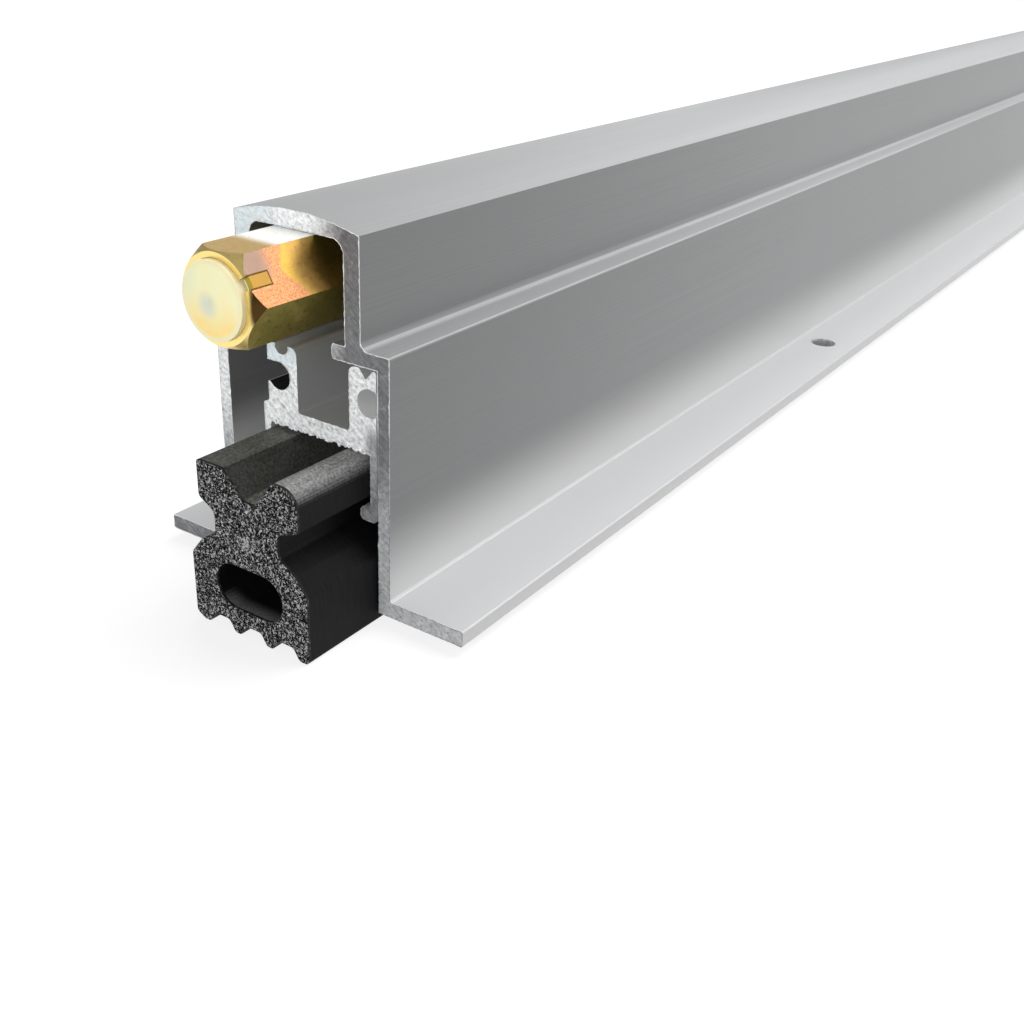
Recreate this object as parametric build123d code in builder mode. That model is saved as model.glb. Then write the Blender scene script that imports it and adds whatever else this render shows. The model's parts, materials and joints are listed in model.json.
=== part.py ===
from build123d import *
import math
import os

# Automatic door bottom seal: an aluminium housing let into the underside of a door leaf, with a
# spring-loaded plunger at the hinge end that pushes a rod along the housing. Two sliders on the
# rod carry pins in inclined slots of two lifter plates, which drive the drop bar and its sponge
# seal straight down while the plunger is pushed in.
# X runs along the housing with the plunger at the low end, Y across the door, Z up.
# The origin is the middle of the whole part, level with the ribs under the seal.
# All sizes are in millimetres.

# Housing extrusion
housing_length = 610.0
wing_width = 44.4
wing_thickness = 1.9
lower_width = 24.5
lower_wall = 1.6
upper_width = 17.0
upper_wall = 2.1
shelf_thickness = 1.7
channel_height = 10.9
corner_wall = 0.8
crown_rise = 1.15
step_fillet = 1.0
ceiling_fillet = 1.5
edge_round = 0.35

# Fixing screw holes in the wings, countersunk from below
screw_inset = 120.0
screw_rows = 3
screw_spread = 33.6
screw_hole = 4.4
screw_sink = 7.0
screw_sink_angle = 82.0

# Travel of the plunger and of the drop bar
travel = 9.0
slot_angle = 45.0

# Drop bar extrusion
bar_clearance = 0.15
channel_offset = 0.4
upright_height = 7.35
web_thickness = 1.9
leg_height = 8.1
leg_wall = 0.9
hook_thickness = 1.7
hook_reach = 1.4
hook_round = 0.6
shoulder_width = 0.85
shoulder_height = 0.1
shoulder_slope = 0.5
left_upright = 4.25
right_upright = 3.65
port_radius = 1.6
port_rise = 3.7
port_mouth = 2.5
left_port_inset = 1.6
right_port_inset = 0.95
groove_width = 1.9
groove_depth = 1.1
upright_round = 0.9

# Sponge seal extrusion
seal_reach = 11.2
seal_clearance = 0.2
seal_squeeze = 0.05
seal_depth = 12.3
seal_hang = 1.2
block_overhang = 0.7
block_drop = 4.1
shoulder_drop = 2.1
shoulder_inset = 1.6
neck_width = 9.0
neck_drop = 0.6
rib_count = 4
rib_flat = 0.45
rib_depth = 1.35
rib_slope = 0.85
right_rib_inset = 0.95
left_rib_inset = 1.6
hollow_width = 9.6
hollow_height = 5.4
hollow_rise = 5.9
lobe_gap = 0.35
left_lobe_drop = 0.35
lobe_skirt = 1.2
valley_depth = 3.35
valley_floor = 1.6
valley_shift = 0.35
left_valley_slope = 2.9
right_valley_slope = 2.6
right_lobe_round = 2.2
sponge_round = 0.7
rib_round = 0.6

# Plunger with its nylon tip
hex_flats = 9.5
hex_top_gap = 0.05
hex_front = 11.0
hex_length = 36.0
hex_face_width = 9.3
hex_bevel = 1.2
tip_diameter = 8.05
tip_depth = 3.0
tip_proud = 1.0
tip_dome = 0.35
tip_clearance = 0.03
key_width = 1.2
key_start = 0.6
key_reach = 3.0
key_angle = 30.0
thread_depth = 20.0

# Push rod and its guides
rod_diameter = 4.0
rod_clearance = 0.05
rod_end_spare = 8.0
guide_length = 12.0
guide_side_gap = 0.1
guide_top_gap = 0.3
set_screw = 2.5
set_screw_wall = 0.35
set_screw_top_gap = 0.02

# Sliders, lift pins and roll pins
unit_inset = 125.0
slider_length = 16.0
slider_left = 4.2
slider_top_gap = 1.0
slider_lip_gap = 0.4
tongue_left = 0.1
tongue_thickness = 2.2
tongue_length = 9.0
tongue_below_pin = 2.2
pin_diameter = 3.0
pin_clearance = 0.05
pin_tail = 1.1
clip_diameter = 4.8
clip_thickness = 0.6
clip_gap = 0.2
clip_top_gap = 0.4
roll_pin = 2.0
roll_pin_bore = 1.0

# Lifter plates and their rivets
lifter_gap = 0.4
lip_clearance = 0.3
lifter_thickness = 1.8
lifter_margin = 2.3
slot_spare = 0.3
foot_thickness = 1.5
foot_gap = 0.3
foot_overhang = 8.0
rivet_diameter = 2.6
rivet_head = 3.8
rivet_head_height = 0.9

# Collar pinned to the rod beyond the far lifter
collar_length = 6.0
collar_gap = 0.6
collar_pin_inset = 0.3

# Return springs and their washers
spring_wire = 0.9
spring_diameter = 7.2
spring_pitch = 4.7
spring_wire_sides = 6
near_spring_length = 33.0
far_spring_length = 26.0
seat_overlap = 1.4
washer_thickness = 0.8
washer_bore_gap = 0.1

# Guide shoes in the open port of the left upright
shoe_length = 24.0
shoe_height = 5.7
shoe_gap = 0.15
shoe_seat_gap = 0.05
shoe_bead_gap = 0.05
shoe_round = 0.8

# Places along the housing
housing_middle = (hex_front + tip_proud) / 2
near_end = housing_middle - housing_length / 2
far_end = housing_middle + housing_length / 2

# Heights, stacked from the ribs under the seal
wing_bottom = seal_hang
wing_top = wing_bottom + wing_thickness
hook_bottom = seal_depth
hook_top = hook_bottom + hook_thickness
web_bottom = hook_bottom + leg_height
web_top = web_bottom + web_thickness
bar_top = web_top + upright_height
shelf_bottom = bar_top + bar_clearance
shelf_top = shelf_bottom + shelf_thickness
ceiling_height = shelf_top + channel_height
corner_height = ceiling_height + corner_wall
rod_height = ceiling_height - hex_top_gap - hex_flats / 2
port_height = web_top + port_rise
mouth_height = port_height + port_radius - port_mouth / 2
foot_top = web_top + foot_thickness
pin_height = shelf_bottom - clip_top_gap - clip_diameter / 2

# Places across the housing: the tongue and lifter pass between the lips, the bar lies at the right wall
wing_half = wing_width / 2
lower_half = lower_width / 2
lower_inner = lower_half - lower_wall
upper_half = upper_width / 2
upper_inner = upper_half - upper_wall
tongue_right = tongue_left - tongue_thickness
lifter_left = tongue_right - lifter_gap
lifter_right = lifter_left - lifter_thickness
lip_half = lip_clearance - lifter_right
bar_right = -(lower_inner - bar_clearance)
channel_left = channel_offset
left_upright_face = channel_left + left_upright
bar_left = left_upright_face + shoulder_width
channel_right = bar_right + right_upright
left_leg_face = bar_left - leg_wall
right_leg_face = bar_right + leg_wall
foot_left = channel_left - foot_gap
rivet_middle = (foot_left + lifter_right) / 2
set_screw_offset = rod_diameter / 2 + rod_clearance + set_screw_wall + set_screw / 2
seat_diameter = spring_diameter + seat_overlap

# Places of the mechanism along the rod
slot_rise = travel * math.tan(math.radians(slot_angle))
hex_start = near_end - hex_front
hex_back = hex_start + hex_length
hex_corner = hex_flats / math.sqrt(3)
guide_half = guide_length / 2
slider_half = slider_length / 2
unit_near = near_end + unit_inset
unit_far = far_end - unit_inset
units = (unit_near, unit_far)
slot_radius = pin_diameter / 2 + pin_clearance
slot_spare_run = slot_spare * math.cos(math.radians(slot_angle))
slot_spare_rise = slot_spare * math.sin(math.radians(slot_angle))
lifter_wall = slot_radius + lifter_margin
far_lifter_end = unit_far + travel + slot_spare_run + lifter_wall
collar_start = far_lifter_end + collar_gap
collar_middle = collar_start + collar_length / 2
collar_back = collar_start + collar_length
near_spring_start = hex_back + washer_thickness
far_spring_start = collar_back + washer_thickness
guide_near = near_spring_start + near_spring_length + guide_half
guide_far = far_spring_start + far_spring_length + guide_half
guides = (guide_near, housing_middle, guide_far)
rod_front = hex_back - thread_depth
rod_back = guide_far + guide_half + travel + rod_end_spare


# Housing: crowned upper channel, step, wider lower channel and a wing at each side
with BuildPart() as housing:
    with BuildSketch(Plane.YZ.offset(near_end)):
        with BuildLine():
            walls = FilletPolyline(
                (upper_half, corner_height),
                (upper_half, shelf_top),
                (lower_half, shelf_top),
                (lower_half, wing_top),
                (wing_half, wing_top),
                (wing_half, wing_bottom),
                (lower_inner, wing_bottom),
                (lower_inner, shelf_bottom),
                (lip_half, shelf_bottom),
                (lip_half, shelf_top),
                (upper_inner, shelf_top),
                (upper_inner, ceiling_height),
                (0, ceiling_height),
                radius=(
                    step_fillet,
                    edge_round,
                    edge_round,
                    edge_round / 2,
                    edge_round / 2,
                    0,
                    0,
                    edge_round,
                    edge_round,
                    0,
                    ceiling_fillet,
                ),
            )
            middle = Line(walls @ 1, (0, corner_height + crown_rise))
            TangentArc(middle @ 1, walls @ 0, tangent=(1, 0))
        make_face()
        mirror(about=Plane.YZ)
    extrude(amount=housing_length)
    screw_pitch = (housing_length - 2 * screw_inset) / (screw_rows - 1)
    underside = Plane(origin=(housing_middle, 0, wing_bottom), x_dir=(1, 0, 0), z_dir=(0, 0, -1))
    with Locations(underside):
        with GridLocations(screw_pitch, screw_spread, screw_rows, 2):
            CounterSinkHole(
                radius=screw_hole / 2,
                counter_sink_radius=screw_sink / 2,
                depth=wing_thickness,
                counter_sink_angle=screw_sink_angle,
            )
housing.part.label = "housing"


def rivet_places(unit):
    """Middles of the two rivets that hold the foot of a lifter on the web"""
    reach = travel / 2 + pin_diameter / 2 + lifter_margin + foot_overhang / 2 + rivet_diameter / 4
    middle = unit + travel / 2
    return [(middle - reach, rivet_middle), (middle + reach, rivet_middle)]


all_rivets = rivet_places(unit_near) + rivet_places(unit_far)


# Drop bar: web, two hooked legs that grip the seal, and two uprights with screw ports
with BuildPart() as drop_bar:
    with BuildSketch(Plane.YZ.offset(near_end)):
        with BuildLine():
            FilletPolyline(
                (bar_left, hook_bottom),
                (bar_left, web_top + shoulder_height),
                (left_upright_face, web_top + shoulder_height + shoulder_slope),
                (left_upright_face, bar_top),
                (channel_left, bar_top),
                (channel_left, web_top),
                (channel_right, web_top),
                (channel_right, bar_top),
                (bar_right, bar_top),
                (bar_right, hook_bottom),
                (right_leg_face + hook_reach, hook_bottom),
                (right_leg_face + hook_reach, hook_top),
                (right_leg_face, hook_top),
                (right_leg_face, web_bottom),
                (left_leg_face, web_bottom),
                (left_leg_face, hook_top),
                (left_leg_face - hook_reach, hook_top),
                (left_leg_face - hook_reach, hook_bottom),
                (bar_left, hook_bottom),
                radius=(
                    hook_round,
                    edge_round,
                    edge_round,
                    edge_round,
                    upright_round,
                    edge_round,
                    edge_round,
                    upright_round,
                    edge_round,
                    hook_round,
                    hook_round,
                    hook_round,
                    edge_round,
                    edge_round,
                    edge_round,
                    edge_round,
                    hook_round,
                    hook_round,
                ),
            )
        make_face()
        with Locations((left_upright_face - left_port_inset, port_height)):
            Circle(port_radius, mode=Mode.SUBTRACT)
        with Locations((left_upright_face - left_port_inset / 2, mouth_height)):
            Rectangle(left_port_inset, port_mouth, mode=Mode.SUBTRACT)
        with Locations((bar_right + right_port_inset, port_height)):
            Circle(port_radius, mode=Mode.SUBTRACT)
        left_groove = (channel_left + left_upright_face) / 2
        with Locations((left_groove, bar_top - groove_depth + groove_width / 2)):
            Circle(groove_width / 2, mode=Mode.SUBTRACT)
        right_groove = (channel_right + bar_right) / 2 - groove_width / 4
        with BuildLine():
            Polyline(
                (right_groove - groove_width / 2, bar_top),
                (right_groove, bar_top - groove_depth),
                (right_groove + groove_width / 2, bar_top),
                close=True,
            )
        make_face(mode=Mode.SUBTRACT)
    extrude(amount=housing_length)
    with BuildSketch(Plane.XY.offset(web_bottom)):
        with Locations(*all_rivets):
            Circle(rivet_diameter / 2)
    extrude(amount=web_thickness, mode=Mode.SUBTRACT)
drop_bar.part.label = "drop_bar"


# Sponge seal: two lobes held above the hooks, a neck, and a hollow ribbed block that meets the floor
block_right = -(lower_inner - seal_clearance)
block_left = bar_left + block_overhang
block_width = block_left - block_right
block_height = hook_bottom - block_drop
shoulder_top = hook_bottom - shoulder_drop
neck_bottom = hook_bottom - neck_drop
lobe_right = right_leg_face + seal_squeeze
lobe_left = left_leg_face - seal_squeeze
lobe_bottom = hook_top + seal_clearance
lobe_top = web_bottom - lobe_gap
left_lobe_top = lobe_top - left_lobe_drop
seal_middle = (bar_left + bar_right) / 2
block_middle = (block_left + block_right) / 2
neck_right = block_middle - neck_width / 2
neck_left = block_middle + neck_width / 2
valley_bottom = lobe_top - valley_depth
valley_left = seal_middle - valley_shift + valley_floor / 2
valley_right = seal_middle - valley_shift - valley_floor / 2
rib_pitch = (block_width - right_rib_inset - left_rib_inset) / (rib_count - 1)

rib_points = [(block_right, 0)]
for rib in range(rib_count - 1):
    right_tip = block_right + right_rib_inset + rib * rib_pitch
    left_tip = right_tip + rib_pitch
    rib_points.append((right_tip + rib_flat, 0))
    rib_points.append((right_tip + rib_flat + rib_slope, rib_depth))
    rib_points.append((left_tip - rib_flat - rib_slope, rib_depth))
    rib_points.append((left_tip - rib_flat, 0))
rib_points.append((left_tip + rib_flat, 0))
rib_points.append((block_left, rib_depth / 2))

body_points = [
    (block_left, block_height),
    (block_left - shoulder_inset, shoulder_top),
    (neck_left, neck_bottom),
    (neck_left, lobe_bottom),
    (lobe_left, lobe_bottom + lobe_skirt),
    (lobe_left, left_lobe_top),
    (valley_left + left_valley_slope, left_lobe_top),
    (valley_left, valley_bottom),
    (valley_right, valley_bottom),
    (valley_right - right_valley_slope, lobe_top),
    (lobe_right, lobe_top),
    (lobe_right, lobe_bottom + lobe_skirt),
    (neck_right, lobe_bottom),
    (neck_right, neck_bottom),
    (block_right + shoulder_inset, shoulder_top),
    (block_right, block_height),
]
body_rounds = [
    sponge_round * 1.5,
    sponge_round * 1.5,
    sponge_round * 1.5,
    sponge_round * 1.5,
    sponge_round,
    sponge_round / 2,
    sponge_round / 2,
    sponge_round,
    sponge_round,
    sponge_round,
    right_lobe_round,
    sponge_round / 2,
    sponge_round,
    sponge_round,
    sponge_round * 1.5,
    sponge_round * 1.5,
]

with BuildPart() as seal_strip:
    with BuildSketch(Plane.YZ.offset(near_end - seal_reach)):
        with BuildLine():
            FilletPolyline(
                *rib_points,
                *body_points,
                radius=[rib_round] * len(rib_points) + body_rounds,
                close=True,
            )
        make_face()
        with Locations((block_middle, hollow_rise)):
            SlotOverall(hollow_width, hollow_height, mode=Mode.SUBTRACT)
    extrude(amount=housing_length + seal_reach)
seal_strip.part.label = "seal_strip"


# Plunger: hexagonal brass bar, its front end bevelled round and bored for the nylon tip
rod_axis = Plane(origin=(0, 0, rod_height), x_dir=(0, 1, 0), z_dir=(1, 0, 0))
with BuildPart() as plunger_hex:
    with BuildSketch(rod_axis.offset(hex_start)):
        RegularPolygon(hex_flats / 2, 6, major_radius=False)
    extrude(amount=hex_length)
    with BuildSketch(Plane.XZ):
        with BuildLine():
            Polyline(
                (hex_start, rod_height),
                (hex_start, rod_height + hex_face_width / 2),
                (hex_start + hex_bevel, rod_height + hex_corner),
                (hex_back, rod_height + hex_corner),
                (hex_back, rod_height),
                close=True,
            )
        make_face()
    revolve(axis=Axis((0, 0, rod_height), (1, 0, 0)), mode=Mode.INTERSECT)
    with BuildSketch(rod_axis.offset(hex_start)):
        Circle(tip_diameter / 2 + tip_clearance)
    extrude(amount=tip_depth, mode=Mode.SUBTRACT)
    key_plane = Plane(
        origin=(hex_start, 0, rod_height),
        x_dir=(1, 0, 0),
        z_dir=(0, -math.sin(math.radians(90 - key_angle)), math.cos(math.radians(90 - key_angle))),
    )
    with BuildSketch(key_plane.offset(tip_diameter / 4)):
        with Locations((key_reach / 2, 0)):
            Rectangle(key_reach, key_width + 2 * tip_clearance)
    extrude(amount=hex_corner, mode=Mode.SUBTRACT)
    with BuildSketch(rod_axis.offset(rod_front)):
        Circle(rod_diameter / 2)
    extrude(amount=thread_depth, mode=Mode.SUBTRACT)
plunger_hex.part.label = "plunger_hex"


# Nylon tip: domed disc seated in the plunger, with a key in the slot of one flat
with BuildPart() as plunger_tip:
    with BuildSketch(Plane.XZ):
        with BuildLine():
            back = hex_start + tip_depth - tip_clearance
            rim = hex_start - tip_proud + tip_dome
            edge = Polyline(
                (hex_start - tip_proud, rod_height),
                (back, rod_height),
                (back, rod_height + tip_diameter / 2),
                (rim, rod_height + tip_diameter / 2),
            )
            TangentArc(edge @ 0, edge @ 1, tangent=(0, 1))
        make_face()
    revolve(axis=Axis((0, 0, rod_height), (1, 0, 0)))
    with BuildSketch(key_plane.offset(tip_diameter / 4)):
        with Locations(((key_start + key_reach) / 2, 0)):
            Rectangle(key_reach - key_start, key_width)
    extrude(amount=hex_flats / 2 - tip_diameter / 4)
plunger_tip.part.label = "plunger_tip"


# Push rod: round steel bar screwed into the back of the plunger
with BuildPart() as push_rod:
    with BuildSketch(rod_axis.offset(rod_front)):
        Circle(rod_diameter / 2)
    extrude(amount=rod_back - rod_front)
    with BuildSketch(Plane.XY.offset(rod_height - rod_diameter)):
        with Locations(*[(pinned, 0) for pinned in (*units, collar_middle)]):
            Circle(roll_pin / 2)
    extrude(amount=2 * rod_diameter, mode=Mode.SUBTRACT)
push_rod.part.label = "push_rod"


def guide_block(middle):
    """Nylon block that fills the upper channel and guides the rod"""
    floor = shelf_top
    top = ceiling_height - guide_top_gap
    width = 2 * (upper_inner - guide_side_gap)
    with BuildPart() as block:
        with BuildSketch(Plane.YZ.offset(middle - guide_half)):
            with Locations((0, (floor + top) / 2)):
                Rectangle(width, top - floor)
            corners = vertices().group_by(Axis.Y)[-1]
            fillet(corners, ceiling_fillet)
            with Locations((0, rod_height)):
                Circle(rod_diameter / 2 + rod_clearance, mode=Mode.SUBTRACT)
        extrude(amount=guide_length)
        with BuildSketch(Plane.XY.offset(floor)):
            with Locations((middle, set_screw_offset)):
                Circle(set_screw / 2)
        extrude(amount=top - floor, mode=Mode.SUBTRACT)
    return block.part


guide_block_near = guide_block(guide_near)
guide_block_near.label = "guide_block_near"
guide_block_middle = guide_block(housing_middle)
guide_block_middle.label = "guide_block_middle"
guide_block_far = guide_block(guide_far)
guide_block_far.label = "guide_block_far"


# Set screws turned from below against the ceiling, which hold the guide blocks down on the lips
with BuildPart() as guide_block_screws:
    screw_length = ceiling_height - set_screw_top_gap - shelf_top
    with BuildSketch(Plane.XY.offset(shelf_top)):
        with Locations(*[(guide, set_screw_offset) for guide in guides]):
            Circle(set_screw / 2)
    extrude(amount=screw_length)
    with BuildSketch(Plane.XY.offset(shelf_top)):
        with Locations(*[(guide, set_screw_offset) for guide in guides]):
            RegularPolygon(set_screw / 4, 6, major_radius=False)
    extrude(amount=set_screw / 2, mode=Mode.SUBTRACT)
guide_block_screws.part.label = "guide_block_screws"


def slider(unit):
    """Block pinned to the rod, with a tongue that hangs through the gap between the lips"""
    bottom = shelf_top + slider_lip_gap
    top = ceiling_height - slider_top_gap
    tongue_bottom = pin_height - tongue_below_pin
    with BuildPart() as block:
        with BuildSketch(Plane.YZ.offset(unit - slider_half)):
            with Locations(((tongue_right + slider_left) / 2, (bottom + top) / 2)):
                Rectangle(slider_left - tongue_right, top - bottom)
            with Locations((0, rod_height)):
                Circle(rod_diameter / 2, mode=Mode.SUBTRACT)
        extrude(amount=slider_length)
        with BuildSketch(Plane.XZ.offset(-tongue_left)):
            with Locations((unit, (tongue_bottom + bottom) / 2)):
                Rectangle(tongue_length, bottom - tongue_bottom)
            corners = vertices().group_by(Axis.Y)[0]
            fillet(corners, tongue_below_pin)
        extrude(amount=tongue_thickness)
        with BuildSketch(Plane.XZ.offset(-tongue_left)):
            with Locations((unit, pin_height)):
                Circle(pin_diameter / 2)
        extrude(amount=tongue_thickness, mode=Mode.SUBTRACT)
        with BuildSketch(Plane.XY.offset(bottom)):
            with Locations((unit, 0)):
                Circle(roll_pin / 2)
        extrude(amount=top - bottom, mode=Mode.SUBTRACT)
    return block.part


def lift_pin(unit):
    """Shouldered pin riveted in the tongue, running in the slot of the lifter"""
    with BuildPart() as pin:
        with BuildSketch(Plane.XZ.offset(-tongue_left)):
            with Locations((unit, pin_height)):
                Circle(pin_diameter / 2)
        extrude(amount=tongue_left - lifter_right + clip_gap + clip_thickness + pin_tail)
    return pin.part


def lifter(unit):
    """Plate standing on the web of the drop bar, with the inclined slot that turns push into drop"""
    low = (unit - slot_spare_run, pin_height - slot_spare_rise)
    high = (unit + travel + slot_spare_run, pin_height + slot_rise + slot_spare_rise)
    with BuildPart() as plate:
        with BuildSketch(Plane.XZ.offset(-lifter_left)):
            with BuildLine():
                Polyline(
                    (low[0] - lifter_wall, web_top),
                    (low[0] - lifter_wall, low[1] + slot_radius),
                    (high[0] - slot_radius, high[1] + lifter_wall),
                    (high[0] + lifter_wall, high[1] + lifter_wall),
                    (high[0] + lifter_wall, web_top),
                    close=True,
                )
            make_face()
            with Locations(((low[0] + high[0]) / 2, (low[1] + high[1]) / 2)):
                SlotCenterToCenter(
                    math.dist(low, high), 2 * slot_radius, rotation=slot_angle, mode=Mode.SUBTRACT
                )
        extrude(amount=lifter_thickness)
        foot_length = high[0] - low[0] + 2 * lifter_wall + 2 * foot_overhang
        with BuildSketch(Plane.XY.offset(web_top)):
            with Locations(((low[0] + high[0]) / 2, (foot_left + lifter_right) / 2)):
                Rectangle(foot_length, foot_left - lifter_right)
            with Locations(*rivet_places(unit)):
                Circle(rivet_diameter / 2, mode=Mode.SUBTRACT)
        extrude(amount=foot_thickness)
    return plate.part


slider_near = slider(unit_near)
slider_near.label = "slider_near"
slider_far = slider(unit_far)
slider_far.label = "slider_far"
lift_pin_near = lift_pin(unit_near)
lift_pin_near.label = "lift_pin_near"
lift_pin_far = lift_pin(unit_far)
lift_pin_far.label = "lift_pin_far"
lifter_near = lifter(unit_near)
lifter_near.label = "lifter_near"
lifter_far = lifter(unit_far)
lifter_far.label = "lifter_far"


# Rivets that hold the two lifters down on the web
with BuildPart() as lifter_rivets:
    with BuildSketch(Plane.XY.offset(web_bottom)):
        with Locations(*all_rivets):
            Circle(rivet_diameter / 2)
    extrude(amount=web_thickness + foot_thickness)
    with BuildSketch(Plane.XY.offset(foot_top)):
        with Locations(*all_rivets):
            Circle(rivet_head / 2)
    extrude(amount=rivet_head_height)
    with BuildSketch(Plane.XY.offset(web_bottom)):
        with Locations(*all_rivets):
            Circle(rivet_head / 2)
    extrude(amount=-rivet_head_height)
lifter_rivets.part.label = "lifter_rivets"


# Spring clips on the tails of the lift pins
with BuildPart() as pin_clips:
    with BuildSketch(Plane.XZ.offset(-lifter_right + clip_gap)):
        with Locations(*[(unit, pin_height) for unit in units]):
            Circle(clip_diameter / 2)
            Circle(pin_diameter / 2, mode=Mode.SUBTRACT)
    extrude(amount=clip_thickness)
pin_clips.part.label = "pin_clips"


# Roll pins that fix the sliders to the rod
with BuildPart() as slider_roll_pins:
    with BuildSketch(Plane.XY.offset(shelf_top + slider_lip_gap)):
        with Locations(*[(unit, 0) for unit in units]):
            Circle(roll_pin / 2)
            Circle(roll_pin_bore / 2, mode=Mode.SUBTRACT)
    extrude(amount=ceiling_height - slider_top_gap - shelf_top - slider_lip_gap)
slider_roll_pins.part.label = "slider_roll_pins"


# Collar on the rod, where the far return spring pushes, and its roll pin
with BuildPart() as rod_collar:
    with BuildSketch(rod_axis.offset(collar_start)):
        Circle(seat_diameter / 2)
        Circle(rod_diameter / 2, mode=Mode.SUBTRACT)
    extrude(amount=collar_length)
    with BuildSketch(Plane.XY.offset(rod_height - seat_diameter / 2)):
        with Locations((collar_middle, 0)):
            Circle(roll_pin / 2)
    extrude(amount=seat_diameter, mode=Mode.SUBTRACT)
rod_collar.part.label = "rod_collar"

with BuildPart() as collar_roll_pin:
    with BuildSketch(Plane.XY.offset(rod_height - seat_diameter / 2 + collar_pin_inset)):
        with Locations((collar_middle, 0)):
            Circle(roll_pin / 2)
            Circle(roll_pin_bore / 2, mode=Mode.SUBTRACT)
    extrude(amount=seat_diameter - 2 * collar_pin_inset)
collar_roll_pin.part.label = "collar_roll_pin"


# Washers against the back of the plunger and against the collar
with BuildPart() as spring_washers:
    for seat in (hex_back, collar_back):
        with BuildSketch(rod_axis.offset(seat)):
            Circle(seat_diameter / 2)
            Circle(rod_diameter / 2 + washer_bore_gap, mode=Mode.SUBTRACT)
        extrude(amount=washer_thickness)
spring_washers.part.label = "spring_washers"


def return_spring(start, length):
    """Compression spring round the rod, from its washer to the guide block behind it"""
    coil_radius = (spring_diameter - spring_wire) / 2
    coil_length = length - spring_wire
    with BuildPart() as spring:
        with BuildLine() as coil:
            Helix(
                spring_pitch,
                coil_length,
                coil_radius,
                center=(start + spring_wire / 2, 0, rod_height),
                direction=(1, 0, 0),
            )
        with BuildSketch(Plane(origin=coil.line @ 0, z_dir=coil.line % 0)):
            RegularPolygon(spring_wire / 2, spring_wire_sides)
        sweep(is_frenet=True)
    return spring.part


return_spring_near = return_spring(near_spring_start, near_spring_length)
return_spring_near.label = "return_spring_near"
return_spring_far = return_spring(far_spring_start, far_spring_length)
return_spring_far.label = "return_spring_far"


def guide_shoe(middle):
    """Nylon shoe clipped in the open port, which keeps the drop bar clear of the left wall"""
    outer = lower_inner - shoe_gap
    inner = left_upright_face + shoe_seat_gap
    bottom = web_top + shoulder_height + shoulder_slope + shoe_gap
    port_middle = left_upright_face - left_port_inset
    with BuildPart() as shoe:
        with BuildSketch(Plane.YZ.offset(middle - shoe_length / 2)):
            with Locations(((inner + outer) / 2, bottom + shoe_height / 2)):
                RectangleRounded(outer - inner, shoe_height, shoe_round)
            with Locations(((port_middle + inner + shoe_round) / 2, mouth_height)):
                Rectangle(inner + shoe_round - port_middle, port_mouth - 2 * shoe_bead_gap)
            with Locations((port_middle, port_height)):
                Circle(port_radius - shoe_bead_gap)
        extrude(amount=shoe_length)
    return shoe.part


guide_shoe_near = guide_shoe(unit_near)
guide_shoe_near.label = "guide_shoe_near"
guide_shoe_far = guide_shoe(unit_far)
guide_shoe_far.label = "guide_shoe_far"


pieces = [
    housing.part,
    drop_bar.part,
    seal_strip.part,
    plunger_hex.part,
    plunger_tip.part,
    push_rod.part,
    guide_block_near,
    guide_block_middle,
    guide_block_far,
    guide_block_screws.part,
    slider_near,
    slider_far,
    lift_pin_near,
    lift_pin_far,
    lifter_near,
    lifter_far,
    lifter_rivets.part,
    pin_clips.part,
    slider_roll_pins.part,
    rod_collar.part,
    collar_roll_pin.part,
    spring_washers.part,
    return_spring_near,
    return_spring_far,
    guide_shoe_near,
    guide_shoe_far,
]
os.makedirs("parts", exist_ok=True)
for piece in pieces:
    export_step(piece, f"parts/{piece.label}.step")
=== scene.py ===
import json
import math
import random

import bmesh
import bpy
from mathutils import Matrix, Vector, kdtree, noise


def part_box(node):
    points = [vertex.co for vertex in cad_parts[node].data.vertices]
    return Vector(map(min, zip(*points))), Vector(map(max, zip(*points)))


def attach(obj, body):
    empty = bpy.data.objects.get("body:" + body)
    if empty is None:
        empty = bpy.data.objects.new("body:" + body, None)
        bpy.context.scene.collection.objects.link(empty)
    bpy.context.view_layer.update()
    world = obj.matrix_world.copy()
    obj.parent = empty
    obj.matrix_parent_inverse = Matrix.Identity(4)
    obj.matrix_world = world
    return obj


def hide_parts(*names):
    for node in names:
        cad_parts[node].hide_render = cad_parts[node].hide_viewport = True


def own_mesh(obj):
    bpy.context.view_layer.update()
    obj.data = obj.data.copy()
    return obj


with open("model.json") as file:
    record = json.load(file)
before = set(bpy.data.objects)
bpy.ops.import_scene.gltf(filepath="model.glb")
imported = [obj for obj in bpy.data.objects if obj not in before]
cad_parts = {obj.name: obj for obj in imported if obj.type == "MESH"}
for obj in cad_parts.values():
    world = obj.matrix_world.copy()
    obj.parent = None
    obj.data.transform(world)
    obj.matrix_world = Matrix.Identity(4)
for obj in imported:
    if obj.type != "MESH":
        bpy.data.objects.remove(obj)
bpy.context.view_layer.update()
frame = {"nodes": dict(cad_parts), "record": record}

# Automatic door bottom seal on a plain pale floor. X runs along the housing, away from the plunger,
# Y across the door and Z up. Lengths here are in millimetres and become metres through MM.
MM = 0.001
MERGE_DISTANCE = 0.001

# The key of the plunger's nose, in a slot of the flat that it tilts towards
KEY_WIDTH = 1.2
KEY_REACH = 3.0
KEY_ANGLE = 30.0
SLOT_GAP = 0.2
SLOT_EDGE = 0.12

# Open cells of the sponge where it is cut, and a scuffed spot at its neck
CELL_SIZE = 0.19
CELL_DEPTH = 0.26
CELL_OPENING = 0.36
SKIN_RIM = 0.04
SMOOTH_ANGLE = 38
SCUFF_SIZE = 1.5
SCUFF_PLACE = Vector((0, -2.1, 11.7))
NEAR_SQUARES = 0.075
FAR_SQUARES = 0.16

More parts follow.
